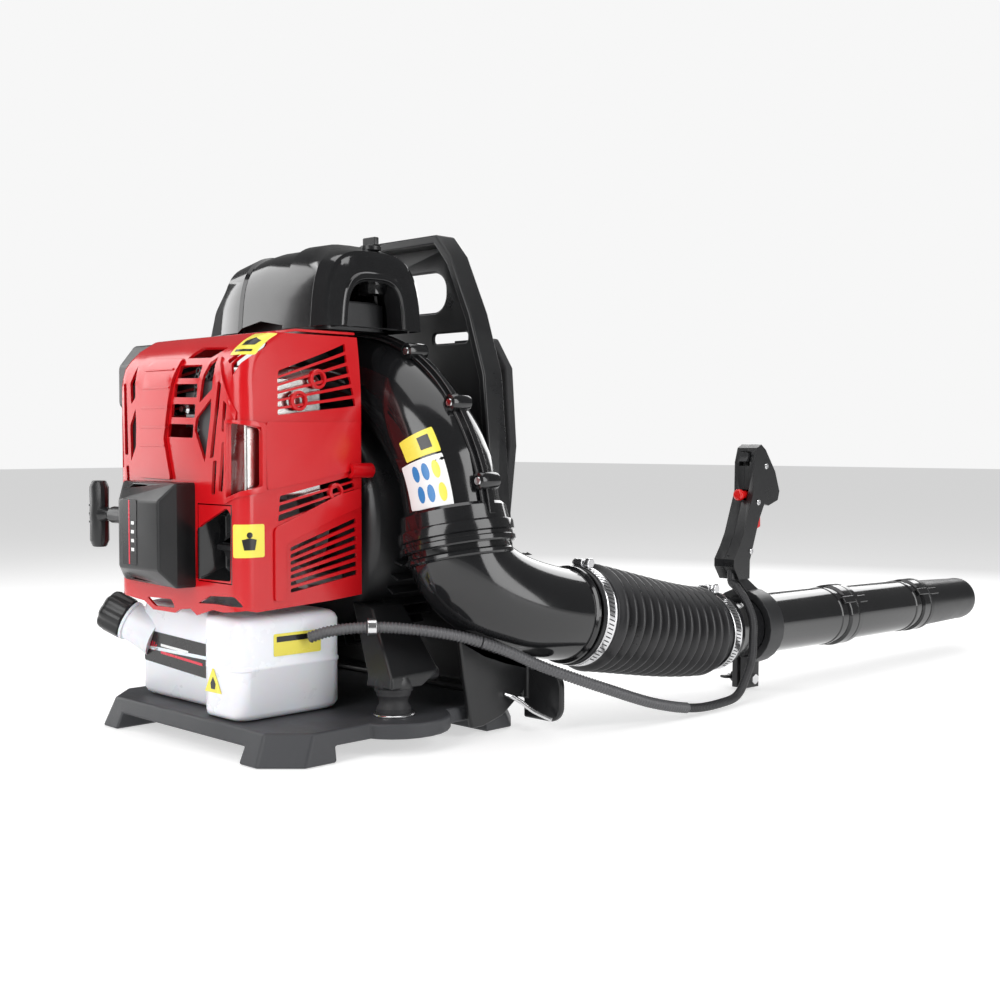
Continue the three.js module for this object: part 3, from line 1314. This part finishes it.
function handleControls() {
  const trigger = join(
    rod(V(-4, triggerPivot.y, triggerPivot.z), V(4, triggerPivot.y, triggerPivot.z), 5, 16),
    prism("x", [
      [triggerPivot.y - 3, triggerPivot.z], [triggerPivot.y - 1, triggerPivot.z - 24],
      [triggerPivot.y + 1, triggerPivot.z - 34], [triggerPivot.y + 8, triggerPivot.z - 32],
      [triggerPivot.y + 7, triggerPivot.z - 16], [triggerPivot.y + 10, triggerPivot.z - 2],
    ], -4.4, 4.4),
  );
  piece("throttle_trigger", trigger, BUTTON_RED, tubes);
  const lock = turned(
    [[0, -9], [4.6, -9], [4.6, 3], [6.4, 4.5], [6.4, 8.5], [4.6, 10], [0, 10]],
    lockAt, V(0, -1, 0), 16,
  );
  piece("lock_button", lock, BUTTON_RED, tubes);
  const rocker = prism("x", [
    [switchAt.y + 5, switchAt.z - 6], [switchAt.y + 5, switchAt.z + 3], [switchAt.y - 2.5,
    switchAt.z + 5],
    [switchAt.y - 1, switchAt.z], [switchAt.y - 4.5, switchAt.z - 5],
  ].reverse(), -5, 5);
  piece("stop_switch", rocker, BUTTON_RED, tubes);
}

// ---------------------------------------------------------------- control cable
const sleeveEntry = [4, bracketAt - 37];

/** A point given in the tubes' frame, in the machine's. */
function fromTubes(x, y, z) {
  return V(x, y, z).applyEuler(new THREE.Euler(-radians(tubeTilt), 0, 0)).add(hoseEnd).toArray();
}

// The whole cable's route: out from behind the tank, through the clip, under the elbow and the
// hose, and up beside the clamp into the foot of the grip.
const cableRoute = [
  [86, -66, 98], [100, -54, 104], [118, -32, 107], [140, -4, 106], [175, 33, 99], [197, 70, 85],
  [208, 108, 67],
  [221, 138, 54], [233, 174, 40], [243, 232, 20], [248, 290, 8], [248, 340, 7], [243, 372, 10],
  [241, 390, 26], [242, 399, 46], [237, 408, 66], [233, 413, 84], [222, 417, 102], [207, 420, 117],
  fromTubes(sleeveEntry[0] + 2, sleeveEntry[1] - 1, gripBottom - 8),
  fromTubes(sleeveEntry[0], sleeveEntry[1], gripBottom + 10),
];
const lowerShare = 0.24; // of the cable's length, up to where it hangs from the elbow
const upperShare = 0.62; // up to where it hangs from the hose's end
const clipShare = 0.088;

function controlCable() {
  const route = new THREE.CatmullRomCurve3(cableRoute.map(([x, y, z]) => V(x, y, z)), false,
    "centripetal");
  const space = gap / route.getLength();
  const stretches = [
    ["throttle_conduit_lower", 0, lowerShare - space, conduitRadius, 12],
    ["throttle_conduit_upper", lowerShare + space, upperShare - space, conduitRadius, 14],
    ["throttle_sleeve", upperShare + space, 1, sleeveRadius, 24],
  ];
  for (const [name, from, to, radius, steps] of stretches) {
    const points = Array.from({ length: steps + 1 }, (_,
      i) => route.getPointAt(from + ((to - from) * i) / steps));
    piece(name, cable(points.map((point) => point.toArray()), radius, 8, steps), BLACK_MATTE);
    cordNodes.add(name);
  }
  const centre = route.getPointAt(clipShare);
  const along = route.getTangentAt(clipShare);
  const reach = conduitRadius + gap * 2;
  const ring = pipe(
    centre.clone().addScaledVector(along, -4), centre.clone().addScaledVector(along, 4), reach + 2.2,
    reach, 20,
  );
  piece("cable_clip", ring, STEEL);
}

// ---------------------------------------------------------------- assembly
basePlate();
antiVibrationMounts();
fanHousing();
impeller();
crankcase();
cylinder();
rockerCover();
piston();
crankshaft();
flywheel();
ignition();
muffler();
carburettor();
intakeCover();
chokeAndPrimer();
airCleaner();
airCleanerCover();
cleanerKnob();
engineCover();
meshScreen();
oilFiller();
recoilHousing();
starterReel();
starterHandle();
fuelTank();
fuelLine();
backrestFrame();
backPad();
shoulderStraps();
strapHooks();
elbow();
hose();
hoseClamps();
swivelPipe();
straightPipe();
nozzle();
handleBracket();
gripShells();
handleControls();
controlCable();

// The origin goes to the middle of the footprint of everything but the free cable.
machine.updateMatrixWorld(true);
const bounds = new THREE.Box3();
machine.traverse((node) => {
  if (node.isMesh && !cordNodes.has(node.name)) bounds.expandByObject(node, true);
});
const group = new THREE.Group();
machine.position.set(-(bounds.min.x + bounds.max.x) / 2, -(bounds.min.y + bounds.max.y) / 2,
-bounds.min.z);
group.add(machine);

export default group;
